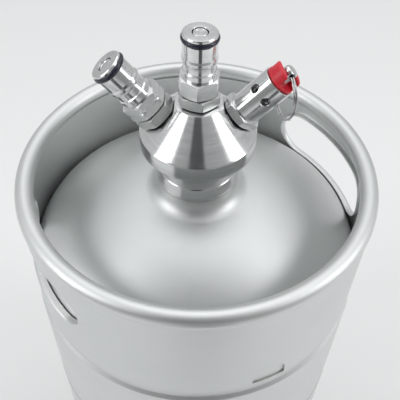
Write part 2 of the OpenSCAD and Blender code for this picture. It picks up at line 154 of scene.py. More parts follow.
def add_card(name, corners, colour, roughness=0.5):
    """A flat card of the studio, with a plain material."""
    mesh = bpy.data.meshes.new(name)
    mesh.from_pydata(corners, [], [(0, 1, 2, 3)])
    card = add_object(name, mesh)
    material = bpy.data.materials.new(name)
    material.use_nodes = True
    shader = material.node_tree.nodes["Principled BSDF"]
    shader.inputs["Base Color"].default_value = (*colour, 1)
    shader.inputs["Roughness"].default_value = roughness
    mesh.materials.append(material)
    return card


def add_floor():
    half, drop = 6, -0.0005
    corners = [(-half, -half, 0), (half, -half, 0), (half, half, 0), (-half, half, 0)]
    add_card("floor", corners, (0.9, 0.9, 0.9), 0.7).location.z = drop


def add_flag(name, corners):
    """A dark card that only the metal's reflections see, as a studio's black flag."""
    flag = add_card(name, corners, (0.03, 0.03, 0.035))
    flag.visible_camera = flag.visible_diffuse = flag.visible_shadow = False


# ---------------------------------------------------------------- materials

class Nodes:
    """A material's node tree, with short calls for the nodes used here."""

    def __init__(self, name, metallic=0.0):
        self.material = bpy.data.materials.new(name)
        self.material.use_nodes = True
        self.tree = self.material.node_tree
        self.shader = self.tree.nodes["Principled BSDF"]
        self.shader.inputs["Metallic"].default_value = metallic
        self.place = self.tree.nodes.new("ShaderNodeTexCoord").outputs["Object"]

    def new(self, kind, **settings):
        node = self.tree.nodes.new(kind)
        for key, value in settings.items():
            if hasattr(node, key):
                setattr(node, key, value)
            else:
                node.inputs[key].default_value = value
        return node

    def link(self, source, target):
        self.tree.links.new(source, target)

    def stretched(self, x, y, z):
        """Object coordinates with each axis scaled."""
        mapping = self.new("ShaderNodeMapping")
        mapping.inputs["Scale"].default_value = (x, y, z)
        self.link(self.place, mapping.inputs["Vector"])
        return mapping.outputs[0]

    def polar(self, around, out, along):
        """Coordinates that run round Z, out from Z and along Z, each scaled."""
        split = self.new("ShaderNodeSeparateXYZ")
        self.link(self.place, split.inputs[0])
        angle = self.math("ARCTAN2", split.outputs["Y"], split.outputs["X"])
        squares = [self.math("POWER", split.outputs[axis], 2.0) for axis in "XY"]
        radius = self.math("SQRT", self.math("ADD", *squares))
        join = self.new("ShaderNodeCombineXYZ")
        self.link(self.math("MULTIPLY", angle, around), join.inputs["X"])
        self.link(self.math("MULTIPLY", radius, out), join.inputs["Y"])
        self.link(self.math("MULTIPLY", split.outputs["Z"], along), join.inputs["Z"])
        return join.outputs[0]

    def math(self, operation, a, b=None):
        node = self.new("ShaderNodeMath", operation=operation)
        for socket, value in zip(node.inputs, (a, b)):
            if value is None:
                continue
            if isinstance(value, (int, float)):
                socket.default_value = value
            else:
                self.link(value, socket)
        return node.outputs[0]

    def noise(self, vector, scale, detail=3.0, roughness=0.55):
        node = self.new("ShaderNodeTexNoise", Scale=scale, Detail=detail, Roughness=roughness)
        self.link(vector, node.inputs["Vector"])
        return node.outputs["Fac"]

    def ranged(self, value, a, b, to_a, to_b):
        node = self.new("ShaderNodeMapRange")
        for socket, limit in zip(RANGE_SOCKETS, (a, b, to_a, to_b)):
            node.inputs[socket].default_value = limit
        self.link(value, node.inputs["Value"])
        return node.outputs[0]

    def tint(self, factor, dark, light):
        """A colour between dark and light by a noise, into the base colour."""
        factor = self.ranged(factor, 0.3, 0.7, 0.0, 1.0)
        mix = self.new("ShaderNodeMix", data_type="RGBA")
        mix.inputs[6].default_value = (*dark, 1)
        mix.inputs[7].default_value = (*light, 1)
        self.link(factor, mix.inputs["Factor"])
        self.link(mix.outputs[2], self.shader.inputs["Base Color"])

    def roughen(self, factor, smooth, rough):
        """A roughness between smooth and rough by a noise."""
        self.link(self.ranged(factor, 0.3, 0.7, smooth, rough), self.shader.inputs["Roughness"])

    def bump(self, height, distance, strength=1.0, below=None):
        node = self.new("ShaderNodeBump", Distance=distance, Strength=strength)
        self.link(height, node.inputs["Height"])
        if below is not None:
            self.link(below, node.inputs["Normal"])
        self.link(node.outputs[0], self.shader.inputs["Normal"])
        return node.outputs[0]

    def scratches(self, vector, scale, width):
        """Thin sparse lines: 1 on a line, 0 elsewhere."""
        warp = self.new("ShaderNodeTexNoise", Scale=scale * 0.35, Detail=2.0)
        self.link(vector, warp.inputs["Vector"])
        cells = self.new("ShaderNodeTexVoronoi", feature="DISTANCE_TO_EDGE", Scale=scale)
        add = self.new("ShaderNodeVectorMath", operation="ADD")
        self.link(vector, add.inputs[0])
        self.link(warp.outputs["Color"], add.inputs[1])
        self.link(add.outputs[0], cells.inputs["Vector"])
        line = self.ranged(cells.outputs["Distance"], 0.0, width, 1.0, 0.0)
        mask = self.ranged(self.noise(vector, scale * 0.6, 2.0), 0.52, 0.62, 0.0, 1.0)
        return self.math("MULTIPLY", line, mask)


def satin_steel():
    """Satin sheet steel: fine blasted grain, faint rolling lines and a few handling marks."""
    n = Nodes("satin_steel", 1.0)
    cloud = n.noise(n.place, 9.0, 4.0)
    grain = n.noise(n.place, 2600.0, 2.0, 0.6)
    lines = n.noise(n.polar(6.0, 900.0, 900.0), 1.0, 3.0, 0.6)
    marks = n.scratches(n.stretched(14.0, 14.0, 26.0), 1.0, 0.012)
    n.tint(cloud, (0.67, 0.69, 0.685), (0.74, 0.755, 0.75))
    rough = n.ranged(cloud, 0.3, 0.7, 0.43, 0.49)
    rough = n.math("ADD", rough, n.ranged(lines, 0.3, 0.7, -0.025, 0.025))
    n.link(n.math("SUBTRACT", rough, n.math("MULTIPLY", marks, 0.06)), n.shader.inputs["Roughness"])
    first = n.bump(grain, 0.00003, 0.35)
    second = n.bump(lines, 0.00002, 0.3, first)
    n.bump(marks, -0.00002, 0.5, second)
    return n.material


def turned_steel(name, dark, light, rough_low, rough_high, anisotropic):
    """Polished turned steel: fine rings from the tool, which spread the highlights across them."""
    n = Nodes(name, 1.0)
    rings = n.noise(n.polar(0.6, 5200.0, 5200.0), 1.0, 3.0, 0.65)
    wide = n.noise(n.polar(1.5, 500.0, 500.0), 1.0, 3.0)
    smear = n.noise(n.place, 60.0, 3.0)
    n.tint(wide, dark, light)
    rough = n.ranged(rings, 0.3, 0.7, rough_low, rough_high)
    rough = n.math("ADD", rough, n.ranged(smear, 0.45, 0.75, 0.0, 0.06))
    n.link(rough, n.shader.inputs["Roughness"])
    first = n.bump(rings, 0.000012, 0.35)
    n.bump(wide, 0.00003, 0.12, first)
    n.shader.inputs["Anisotropic"].default_value = anisotropic
    n.shader.inputs["Anisotropic Rotation"].default_value = 0.25
    tangent = n.new("ShaderNodeTangent", direction_type="RADIAL", axis="Z")
    n.link(tangent.outputs[0], n.shader.inputs["Tangent"])
    return n.material


def wire_steel():
    """Bright drawn wire."""
    n = Nodes("wire_steel", 1.0)
    streak = n.noise(n.place, 900.0, 3.0)
    n.tint(streak, (0.46, 0.46, 0.47), (0.60, 0.60, 0.60))
    n.roughen(streak, 0.16, 0.28)
    n.bump(streak, 0.00001, 0.3)
    return n.material


def weld_steel():
    """Ground weld metal: rippled, a little darker, with a straw tint beside it."""
    n = Nodes("weld_steel", 1.0)
    ripple = n.noise(n.polar(70.0, 300.0, 300.0), 1.0, 2.0)
    stain = n.noise(n.place, 45.0, 3.0)
    n.tint(stain, (0.40, 0.385, 0.36), (0.56, 0.56, 0.54))
    n.roughen(ripple, 0.34, 0.5)
    n.bump(ripple, 0.00012, 0.6)
    return n.material


def rubber(name, dark, light, rough_low, rough_high, coat):
    """Moulded rubber, matt or greased."""
    n = Nodes(name)
    speck = n.noise(n.place, 1500.0, 3.0)
    film = n.noise(n.place, 220.0, 2.0)
    n.tint(film, dark, light)
    n.roughen(film, rough_low, rough_high)
    n.bump(speck, 0.00002, 0.3)
    n.shader.inputs["Coat Weight"].default_value = coat
    n.shader.inputs["Coat Roughness"].default_value = 0.15
    return n.material


def red_plastic():
    """Moulded red plastic with a fine spark texture."""
    n = Nodes("red_plastic")
    cloud = n.noise(n.place, 120.0, 3.0)
    spark = n.noise(n.place, 2200.0, 2.0)
    n.tint(cloud, (0.62, 0.012, 0.03), (0.74, 0.03, 0.05))
    n.roughen(cloud, 0.3, 0.42)
    n.bump(spark, 0.00002, 0.35)
    n.shader.inputs["Subsurface Weight"].default_value = 0.08
    n.shader.inputs["Subsurface Radius"].default_value = (0.004, 0.0008, 0.0006)
    return n.material


# ---------------------------------------------------------------- mesh tools

def make_object(name, points, faces, sharp_angle=30):
    """An object from points in millimetres, shaded smooth up to sharp_angle degrees."""
    mesh = bpy.data.meshes.new(name)
    mesh.from_pydata([Vector(p) * MM for p in points], [], faces)
    mesh.validate()
    work = bmesh.new()
    work.from_mesh(mesh)
    bmesh.ops.remove_doubles(work, verts=work.verts, dist=1e-7)
    bmesh.ops.recalc_face_normals(work, faces=work.faces)
    work.to_mesh(mesh)
    work.free()
    mesh.shade_smooth()
    mesh.set_sharp_from_angle(angle=math.radians(sharp_angle))
    return add_object(name, mesh)


def arc(cx, cy, radius, a0, a1, steps):
    """Points on an arc from angle a0 to a1, in degrees."""
    angles = [math.radians(a0 + (a1 - a0) * i / steps) for i in range(steps + 1)]
    return [(cx + radius * math.cos(a), cy + radius * math.sin(a)) for a in angles]


def rounded(corners, steps=4):
    """A closed outline whose corners (x, y, radius) are rounded where the radius isn't 0."""
    outline = []
    count = len(corners)
    for i, (x, y, radius) in enumerate(corners):
        here = Vector((x, y))
        before = Vector(corners[i - 1][:2]) - here
        after = Vector(corners[(i + 1) % count][:2]) - here
        if not radius or before.length < 1e-6 or after.length < 1e-6:
            outline.append((x, y))
            continue
        half = before.angle(after) / 2
        reach = min(radius / math.tan(half), before.length * 0.49, after.length * 0.49)
        start = here + before.normalized() * reach
        end = here + after.normalized() * reach
        for k in range(steps + 1):
            t = k / steps
            bent = start * (1 - t) ** 2 + here * 2 * t * (1 - t) + end * t ** 2
            outline.append((bent.x, bent.y))
    return outline


def even_angles(count):
    return [360 * i / count for i in range(count)]


def hexagon_angles(turn):
    """Angles round a hexagon, closer together at its corners, which start at turn degrees."""
    near = (-3.5, -2.2, -1.3, -0.6, 0, 0.6, 1.3, 2.2, 3.5)
    flat = [6 + 4 * i for i in range(13)]
    return [turn + 60 * k + a for k in range(6) for a in near + tuple(flat)]


def hexagon_reach(angle, turn, apothem, sharpness=10.0):
    """Distance from the axis to a hexagon's face, with its corners slightly rounded."""
    total = 0.0
    for k in range(6):
        across = math.cos(math.radians(angle - turn - 30 - 60 * k))
        if across > 0.3:
            total += math.exp(-sharpness * (apothem / across - apothem))
    return apothem - math.log(total) / sharpness


def softer_min(a, b, sharpness=14.0):
    """The smaller of two values, with the step from one to the other smoothed."""
    least = min(a, b)
    near = math.exp(-sharpness * (a - least)) + math.exp(-sharpness * (b - least))
    return least - math.log(near) / sharpness


def lathe(name, outline, angles=None, reach=None, sharp_angle=30):
    """Turns a closed outline of (radius, height) round Z.

    reach(radius, height, angle) can change the radius.
    """
    angles = angles or even_angles(128)
    points, faces = [], []
    for angle in angles:
        a = math.radians(angle)
        for radius, height in outline:
            r = reach(radius, height, angle) if reach else radius
            points.append((r * math.cos(a), r * math.sin(a), height))
    size = len(outline)
    for j in range(len(angles)):
        k = (j + 1) % len(angles)
        for i in range(size):
            h = (i + 1) % size
            faces.append((j * size + i, k * size + i, k * size + h, j * size + h))
    return make_object(name, points, faces, sharp_angle)


def tube_along(name, path, radius, sides):
    """A round wire along a list of points, with rounded ends."""
    points, faces = [], []
    path = [Vector(p) for p in path]
    start = (path[0] - path[1]).normalized()
    finish = (path[-1] - path[-2]).normalized()
    turns = [math.radians(a) for a in (75, 50, 25)]
    end_radii = [radius * math.cos(a) for a in turns]
    radii = end_radii + [radius] * len(path) + end_radii[::-1]
    path = ([path[0] + start * radius * math.sin(a) for a in turns] + path
            + [path[-1] + finish * radius * math.sin(a) for a in reversed(turns)])
    across = (path[1] - path[0]).normalized().orthogonal().normalized()
    for i, here in enumerate(path):
        ahead = (path[min(i + 1, len(path) - 1)] - path[max(i - 1, 0)]).normalized()
        across = (across - ahead * across.dot(ahead)).normalized()
        other = ahead.cross(across)
        for k in range(sides):
            a = 2 * math.pi * k / sides
            points.append(here + (across * math.cos(a) + other * math.sin(a)) * radii[i])
    rings = len(path)
    for i in range(rings - 1):
        for k in range(sides):
            m = (k + 1) % sides
            here, ahead = i * sides, (i + 1) * sides
            faces.append((here + k, here + m, ahead + m, ahead + k))
    faces.append(tuple(range(sides)))
    faces.append(tuple((rings - 1) * sides + k for k in range(sides)))
    return make_object(name, points, faces, 60)


def cut(thing, *cutters):
    """Cuts other objects out of this one, and deletes them."""
    for cutter in cutters:
        modifier = thing.modifiers.new("cut", "BOOLEAN")
        modifier.operation = "DIFFERENCE"
        modifier.solver = "EXACT"
        modifier.object = cutter
    apply_modifiers(thing)
    for cutter in cutters:
        bpy.data.objects.remove(cutter)


def apply_modifiers(thing):
    graph = bpy.context.evaluated_depsgraph_get()
    mesh = bpy.data.meshes.new_from_object(thing.evaluated_get(graph))
    thing.modifiers.clear()
    thing.data = mesh


def smooth_by_angle(thing, angle):
    thing.data.shade_smooth()
    thing.data.set_sharp_from_angle(angle=math.radians(angle))


def rod(name, radius, z0, z1, turn, count=96):
    """A plain cylinder used as a cutter."""
    outline = [(0, z0), (radius, z0), (radius, z1), (0, z1)]
    thing = lathe(name, outline, even_angles(count))
    thing.data.transform(turn)
    return thing


def finish_piece(thing, material, body, nodes, place=None):
    """Gives a piece its place, material, body and material slot, and hides the CAD nodes it stands for.
    """
    if place is not None:
        thing.matrix_world = place
    thing.data.materials.clear()
    thing.data.materials.append(material)
    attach(thing, body)
    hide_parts(*nodes)


def turned(degrees, axis):
    return Matrix.Rotation(math.radians(degrees), 4, axis)


def at_axis(height):
    """Lifts a piece up the keg's axis, or up its own."""
    return Matrix.Translation((0, 0, height * MM))


GAS_TILT, RELIEF_TILT = math.radians(38.5), math.radians(41.5)
SIDE_SEAT = (22.1, 389.2)


def leaning(side):
    """Stands a fitting on its seat on the gas side (-1) or the relief side (1) of the cap."""
    out, height = SIDE_SEAT
    tilt = RELIEF_TILT if side > 0 else -GAS_TILT
    return Matrix.Translation((side * out * MM, 0, height * MM)) @ Matrix.Rotation(tilt, 4, "Y")


# ---------------------------------------------------------------- shell and chimes

SHEET = 1.2
BEAD = 5.4
BEAD_END = 297
CHIME_R = 108.15
KNUCKLE_R = 25
CROWN_R = 150
FLANGE_R = 106.85
FLANGE_H = 21
CHIME_LAP = 10.5
HANDLE_DIR = 25
HANDLE_W, HANDLE_H, HANDLE_Z = 92, 31, 311.4
LIP_DEPTH = 4.8
LIP_BEND = 2.4
DRAIN_DIR = -67.5
DRAIN_W, DRAIN_H = 21, 16
NECK_FILLET = 10

COLUMNS = 288
STEP = 360 / COLUMNS


def bead_path(centre_r, centre_z):
    """Section of the rolled bead, from the wall's outside, over the top and back to its inside."""
    outside = arc(centre_r, centre_z, BEAD, -29, BEAD_END, 56)
    end = math.radians(BEAD_END)
    middle = BEAD - SHEET / 2
    edge = arc(centre_r + middle * math.cos(end), centre_z + middle * math.sin(end), SHEET / 2,
               BEAD_END - 360, BEAD_END - 180, 6)
    inside = arc(centre_r, centre_z, BEAD - SHEET, BEAD_END, -38, 48)
    crease = [(CHIME_R, centre_z - 4.6), (CHIME_R + 0.02, centre_z - 4.0),
              (CHIME_R + 0.1, centre_z - 3.4)]
    return crease + outside + edge[1:-1] + inside + [(CHIME_R - SHEET, centre_z - 4.0)]


class ChimeWall:
    """A sheet wall with its bead, on a grid of columns round the axis and rows up it.

    Windows in the grid are filled by patches that run from the grid to the edge of a hole.
    """

    def __init__(self, rows, bead):
        self.rows = rows
        self.bead = bead
        self.windows = []
        self.points = []
        self.index = {}
        self.faces = []

    def vertex(self, key, radius, angle, height):
        if key not in self.index:
            self.index[key] = len(self.points)
            a = math.radians(angle)
            self.points.append((radius * math.cos(a), radius * math.sin(a), height))
        return self.index[key]

    def radius_of(self, side):
        return CHIME_R if side == "out" else CHIME_R - SHEET

    def grid(self, side, column, row):
        column %= COLUMNS
        return self.vertex((side, column, row), self.radius_of(side),
                           HANDLE_DIR + STEP * column, self.rows[row])

    def bead_vertex(self, column, k):
        column %= COLUMNS
        radius, height = self.bead[k]
        return self.vertex(("bead", column, k), radius, HANDLE_DIR + STEP * column, height)

    def in_window(self, column, row):
        for centre, half, low_row, high_row in self.windows:
            offset = (column - centre + COLUMNS // 2) % COLUMNS - COLUMNS // 2
            if -half <= offset < half and low_row <= row < high_row:
                return True
        return False

    def walls(self):
        last = len(self.rows) - 1
        for column in range(COLUMNS):
            for side in ("out", "in"):
                for row in range(last):
                    if not self.in_window(column, row):
                        spots = ((0, 0), (1, 0), (1, 1), (0, 1))
                        self.faces.append(tuple(self.grid(side, column + i, row + j) for i, j in spots))
            if not self.in_window(column, 0):
                self.faces.append((self.grid("out", column, 0), self.grid("out", column + 1, 0),
                                   self.grid("in", column + 1, 0), self.grid("in", column, 0)))
            chain, beside = self.bead_chain(column), self.bead_chain(column + 1)
            for k in range(len(chain) - 1):
                self.faces.append((chain[k], beside[k], beside[k + 1], chain[k + 1]))

    def bead_chain(self, column):
        """Points up over the bead in one column, from the wall's outside to its inside."""
        last = len(self.rows) - 1
        over = [self.bead_vertex(column, k) for k in range(len(self.bead))]
        return [self.grid("out", column, last)] + over + [self.grid("in", column, last)]

    def patch(self, name, centre, border, nearest, reach, lip):
        """Fills the window about a column, round a hole.

        border lists the window's grid points in order, nearest gives the point of the hole's
        spine closest to a point, reach is the hole's radius round its spine, and lip lists
        (distance from the edge, depth).
        """
        middle = HANDLE_DIR + STEP * centre
        closed = border[0] == border[-1]
        count = len(border) - 1 if closed else len(border)
        rings = 5
        spread = lip[0][0] if lip else 0
        table = {}
        for b in range(count):
            column, row = border[b]
            turn = math.radians(STEP * (column - centre))
            flat = Vector((CHIME_R * math.sin(turn), self.rows[row]))
            spine = nearest(flat)
            way = (flat - spine).normalized()
            rim = spine + way * (reach + spread)
            for side in ("out", "in"):
                radius = self.radius_of(side)
                start = Vector((radius * math.sin(turn), self.rows[row]))
                for m in range(rings):
                    spot = rim.lerp(start, m / rings)
                    angle = middle + math.degrees(math.asin(spot.x / radius))
                    table[side, b, m] = self.vertex((name, side, b, m), radius, angle, spot.y)
                table[side, b, rings] = self.grid(side, column, row)
            chain = [table["out", b, 0]]
            for k, (away, depth) in enumerate(lip[1:-1]):
                spot = spine + way * (reach + away)
                radius = CHIME_R - depth
                angle = middle + math.degrees(math.asin(spot.x / radius))
                chain.append(self.vertex((name, "lip", b, k), radius, angle, spot.y))
            chain.append(table["in", b, 0])
            table["chain", b] = chain
        for b in range(count if closed else count - 1):
            c = (b + 1) % count
            for side in ("out", "in"):
                for m in range(rings):
                    self.faces.append((table[side, b, m], table[side, c, m],
                                       table[side, c, m + 1], table[side, b, m + 1]))
            one, two = table["chain", b], table["chain", c]
            for k in range(len(one) - 1):
                self.faces.append((one[k], two[k], two[k + 1], one[k + 1]))
        if not closed:
            for b in (0, count - 1):
                for m in range(rings):
                    self.faces.append((table["out", b, m], table["out", b, m + 1],
                                       table["in", b, m + 1], table["in", b, m]))


def spread_rows(*stops):
    """Heights from (start, steps), (next, steps), ... to a last plain height."""
    rows = []
    ends = [s[0] if isinstance(s, tuple) else s for s in stops[1:]]
    for (start, steps), end in zip(stops[:-1], ends):
        rows += [start + (end - start) * i / steps for i in range(steps)]
    return rows + [stops[-1]]


def handle_lip():
    """Section of the turned-in lip, as (distance from the hole's edge, depth)."""
    bend = [(LIP_BEND - x, LIP_BEND - y) for x, y in arc(0, 0, LIP_BEND, 90, 0, 6)]
    tip = [(SHEET / 2 - x, LIP_DEPTH - SHEET / 2 + y) for x, y in arc(0, 0, SHEET / 2, 0, 180, 6)]
    back = [(LIP_BEND - x, LIP_BEND - y) for x, y in arc(0, 0, LIP_BEND - SHEET, 0, 90, 5)]
    return bend + tip + back


def top_chime(material):
    """The upper skirt: its lower rows hold the drain notches, and the rows above the hand holes."""
    drain_rows, handle_rows = 8, 20
    bottom = low("top_chime").z
    bead_z = high("top_chime").z - BEAD
    bead_r = high("top_chime").x - BEAD
    band_low, band_high = HANDLE_Z - 21.4, HANDLE_Z + 23.1
    rows = spread_rows((bottom, drain_rows), (band_low, handle_rows), (band_high, 3), bead_z - 4.8)
    wall = ChimeWall(rows, bead_path(bead_r, bead_z))
    half_turn = COLUMNS // 2
    drain = round((DRAIN_DIR - HANDLE_DIR) / STEP)
    handle_half, drain_half = 26, 8
    top_row = drain_rows + handle_rows
    handles = [(c, handle_half, drain_rows, top_row) for c in (0, half_turn)]
    drains = [(c, drain_half, 0, drain_rows) for c in (drain, drain + half_turn)]
    wall.windows = handles + drains
    wall.walls()

    reach = HANDLE_H / 2
    spine = HANDLE_W / 2 - reach
    for k, (c, half, r0, r1) in enumerate(handles):
        border = [(j, r0) for j in range(c - half, c + half)]
        border += [(c + half, i) for i in range(r0, r1)]
        border += [(j, r1) for j in range(c + half, c - half, -1)]
        border += [(c - half, i) for i in range(r1, r0 - 1, -1)]
        wall.patch(f"handle{k}", c, border,
                   lambda p: Vector((max(-spine, min(spine, p.x)), HANDLE_Z)), reach, handle_lip())

    radius = DRAIN_W / 2
    for k, (c, half, r0, r1) in enumerate(drains):
        border = [(c - half, i) for i in range(r0, r1)]
        border += [(j, r1) for j in range(c - half, c + half)]
        border += [(c + half, i) for i in range(r1, r0 - 1, -1)]
        wall.patch(f"drain{k}", c, border,
                   lambda p: Vector((0, min(p.y, bottom + DRAIN_H - radius))), radius, [])
    thing = make_object("top_chime_sheet", wall.points, wall.faces, 40)
    finish_piece(thing, material, "keg", ["top_chime"])


def bottom_chime(material):
    """The foot: the same bead, upside down and standing on the floor."""
    top = high("bottom_chime").z
    bead_r = high("bottom_chime").x - BEAD
    bead_z = math.sqrt(BEAD ** 2 - 2 ** 2)
    section = bead_path(bead_r, 0)
    outline = [(CHIME_R - SHEET, top), (CHIME_R, top)]
    outline += [(r, max(bead_z - z, 0)) for r, z in section]
    thing = lathe("bottom_chime_sheet", outline, even_angles(COLUMNS), sharp_angle=40)
    finish_piece(thing, material, "keg", ["bottom_chime"])


KNUCKLE_C = FLANGE_R - KNUCKLE_R
CROWN_DROP = math.sqrt((CROWN_R - KNUCKLE_R) ** 2 - KNUCKLE_C ** 2)


def head(inset, last_angle):
    """Knuckle and crown of a head above its tangent, set in from the outside."""
    meet = math.degrees(math.atan2(CROWN_DROP, KNUCKLE_C))
    knuckle = arc(KNUCKLE_C, 0, KNUCKLE_R - inset, 0, meet, 14)
    crown = arc(0, -CROWN_DROP, CROWN_R - inset, meet, last_angle, 22)
    return knuckle + crown[1:]


def barrel(inset, reach_down):
    """The cylinder's wall and the joggle below a head, with soft bends."""
    shell_r = high("upper_shell").x
    corners = [
        (shell_r - inset, -reach_down, 0), (shell_r - inset, -FLANGE_H, 1.5),
        (FLANGE_R - inset, 2.5 - FLANGE_H, 1.5), (FLANGE_R - inset, 0, 0),
    ]
    return rounded([(shell_r - inset - 40, -reach_down - 40, 0)] + corners, 5)[1:-1]


def shells(material):
    middle = (low("middle_weld").z + high("middle_weld").z) / 2
    half_gap = (high("middle_weld").z - low("middle_weld").z) / 2
    tangent = low("top_chime").z + CHIME_LAP
    reach_down = tangent - middle - half_gap
    weld_r = high("neck_collar").x
    fillet_c = weld_r + NECK_FILLET
    fillet_a = math.degrees(math.acos(fillet_c / (CROWN_R + NECK_FILLET)))
    fillet_h = (CROWN_R + NECK_FILLET) * math.sin(math.radians(fillet_a)) - CROWN_DROP
    lip = high("upper_shell").z - tangent

    def upper(inset):
        flare = arc(fillet_c, fillet_h, NECK_FILLET + inset, fillet_a + 180, 180, 14)
        return barrel(inset, reach_down) + head(inset, fillet_a) + flare[1:] + [(weld_r - inset, lip)]

    outline = upper(0) + upper(SHEET)[::-1]
    thing = lathe("upper_shell_sheet", outline, even_angles(COLUMNS))
    thing.data.transform(at_axis(tangent))
    finish_piece(thing, material, "keg", ["upper_shell"])

    outer, inner = (barrel(inset, reach_down) + head(inset, 90) for inset in (0, SHEET))
    thing = lathe("lower_shell_sheet", outer + inner[::-1], even_angles(COLUMNS))
    foot_tangent = high("bottom_chime").z - CHIME_LAP
    upside_down = Matrix.Scale(-1, 4, (0, 0, 1))
    thing.data.transform(at_axis(foot_tangent) @ upside_down)
    thing.data.flip_normals()
    finish_piece(thing, material, "keg", ["lower_shell"])


RIPPLES, RIPPLE_DEPTH = 110, 0.035


def weld_bead(name, node, outline, material):
    """A weld with its surface rippled round the axis."""
    phase = sum(map(ord, node))

    def reach(radius, height, angle):
        ripple = math.sin(math.radians(angle) * RIPPLES + phase) * RIPPLE_DEPTH
        return radius + (ripple if radius > outline[0][0] + 0.4 else 0)

    thing = lathe(name, outline, even_angles(720), reach, 60)
    finish_piece(thing, material, "keg", [node])


def welds(material):
    z0, z1 = low("middle_weld").z, high("middle_weld").z
    r_in = high("upper_shell").x - SHEET
    r_out = high("middle_weld").x
    crown = [(r_in, z0), (r_out - 0.2, z0)]
    crown += [(r_out - 0.16 * (2 * k / 6 - 1) ** 2 - 0.04, z0 + (z1 - z0) * k / 6)
              for k in range(1, 6)]
    weld_bead("middle_weld_bead", "middle_weld", crown + [(r_out - 0.2, z1), (r_in, z1)], material)
    for node, side in (("top_chime_weld", -1), ("bottom_chime_weld", 1)):
        z = high(node).z if side < 0 else low(node).z
        leg = high(node).z - low(node).z
        curve = [(FLANGE_R + leg * (1 - k / 5) * 0.93, z + side * leg * (0.05 + 0.9 * k / 5))
                 for k in range(6)]
        outline = [(FLANGE_R, z)]
        outline += [(r - 0.12 * math.sin(math.pi * k / 5), h) for k, (r, h) in enumerate(curve)]
        weld_bead(node + "_bead", node, outline, material)
    z0, z1 = low("neck_weld").z, high("neck_weld").z
    r_out = high("neck_weld").x
    outline = [(r_out - SHEET - 0.1, z0), (r_out - 0.12, z0), (r_out - 0.02, (z0 + z1) / 2),
               (r_out - 0.12, z1), (r_out - SHEET - 0.1, z1)]
    weld_bead("neck_weld_bead", "neck_weld", outline, material)


# ---------------------------------------------------------------- neck and cap

PITCH = 3.175
THREAD_R = 22.2
NECK_BORE = 18


def thread_height(z, angle, z0, z1):
    """Height of the thread at a place, from 0 at its root to 1 on its crest, fading at its ends."""
    phase = ((z - z0) / PITCH - angle / 360) % 1.0
    ridge = max(0.0, min(1.0, (0.42 - abs(phase - 0.5)) / 0.2))
    fade = max(0.0, min(1.0, (z - z0) / 1.5, (z1 - z) / 1.0))
    return ridge * fade


def neck(material):
    """The turned neck, with its helical outside thread."""
    bottom, top = low("neck_collar").z, high("neck_collar").z
    shoulder = high("neck_weld").z
    cap_low = low("tap_cap").z
    weld_r = high("neck_collar").x
    thread_low, thread_high = cap_low - 1.6, top - 0.7
    spigot = weld_r - SHEET - 0.1
    depth = 1.0
    steps = 44
    corners = [
        (NECK_BORE, bottom, 0.3), (spigot, bottom, 0.3), (spigot, shoulder, 0), (weld_r, shoulder, 0),
        (weld_r - 0.15, shoulder + 1.5, 0.8), (23.2, shoulder + 7.4, 0.4), (22.6, shoulder + 8, 0.4),
        (22.6, cap_low - 2, 0.3), (THREAD_R - depth, thread_low, 0),
    ]
    outline = rounded(corners, 4)
    outline += [(THREAD_R - depth, thread_low + (thread_high - thread_low) * k / steps)
                for k in range(1, steps + 1)]
    outline += rounded([(THREAD_R - depth - 0.6, top, 0.3), (NECK_BORE, top, 0.5),
                        (NECK_BORE, bottom + 1, 0)])

    def reach(radius, height, angle):
        if abs(radius - (THREAD_R - depth)) < 1e-6:
            return radius + depth * thread_height(height, angle, thread_low, thread_high)
        return radius

    thing = lathe("neck_turned", outline, even_angles(192), reach, 35)
    finish_piece(thing, material, "keg", ["neck_collar"])


SPOT_FACE_R, SIDE_WAY_R = 13.2, 3.3


def cap(material):
    """The screwed cone, cut by a spot face, a stub's bore and a way in for each side fitting."""
    z0, z1 = low("tap_cap").z, high("tap_cap").z
    r = high("tap_cap").x
    band_top = z0 + 10.5
    roof, ceiling = 380.5, 387
    top_r = 13.3
    bore = THREAD_R + 0.08
    centre = 6.05
    corners = [
        (bore + 1.1, z0, 0.1), (r - 0.6, z0, 0.3), (r, z0 + 0.6, 0.3), (r, band_top - 0.8, 0.25),
        (r - 0.7, band_top, 0.25), (top_r + 0.7, z1 - 0.6, 0.5), (top_r, z1, 0.4),
        (centre, z1, 0.3), (centre, ceiling, 0.2), (18.2, ceiling, 0.6), (18.2, roof, 0.2),
        (bore, roof, 0), (bore, z0 + 1.1, 0.1),
    ]
    thing = lathe("tap_cap_turned", rounded(corners, 5), even_angles(256))
    tools = []
    for side in (-1, 1):
        place = leaning(side)
        tools.append(rod(f"spot{side}", SPOT_FACE_R, 0, 20, place, 160))
        tools.append(rod(f"stub{side}", centre, -3.5, 5, place, 64))
        tools.append(rod(f"way{side}", SIDE_WAY_R, -7, 5, place, 48))
    cut(thing, *tools)
    smooth_by_angle(thing, 24)
    finish_piece(thing, material, "cap", ["tap_cap"])


# ---------------------------------------------------------------- posts

HEX_AF = 21
HEX_R = HEX_AF / math.sqrt(3)
STUB_R = 6
POST_R = 9.2
POST_H = 42.6
WASHER = 0.7


def washer(node, place, material):
    inner, outer = STUB_R + 0.1, HEX_AF / 2 - 0.5
    outline = rounded([(inner, -WASHER, 0.2), (outer, -WASHER, 0.3), (outer, 0, 0.3), (inner, 0, 0.2)])
    thing = lathe(f"{node}_cut", outline)
    finish_piece(thing, material, "cap", [node], place)


def hexagonal(turn, z0, z1):
    """Radius rule for a lathe: a hexagon between two heights, round elsewhere."""
    def reach(radius, height, angle):
        if z0 - 1e-6 <= height <= z1 + 1e-6 and radius > HEX_AF / 2 - 1.5:
            return softer_min(radius, hexagon_reach(angle, turn, HEX_AF / 2))
        return radius
    return reach


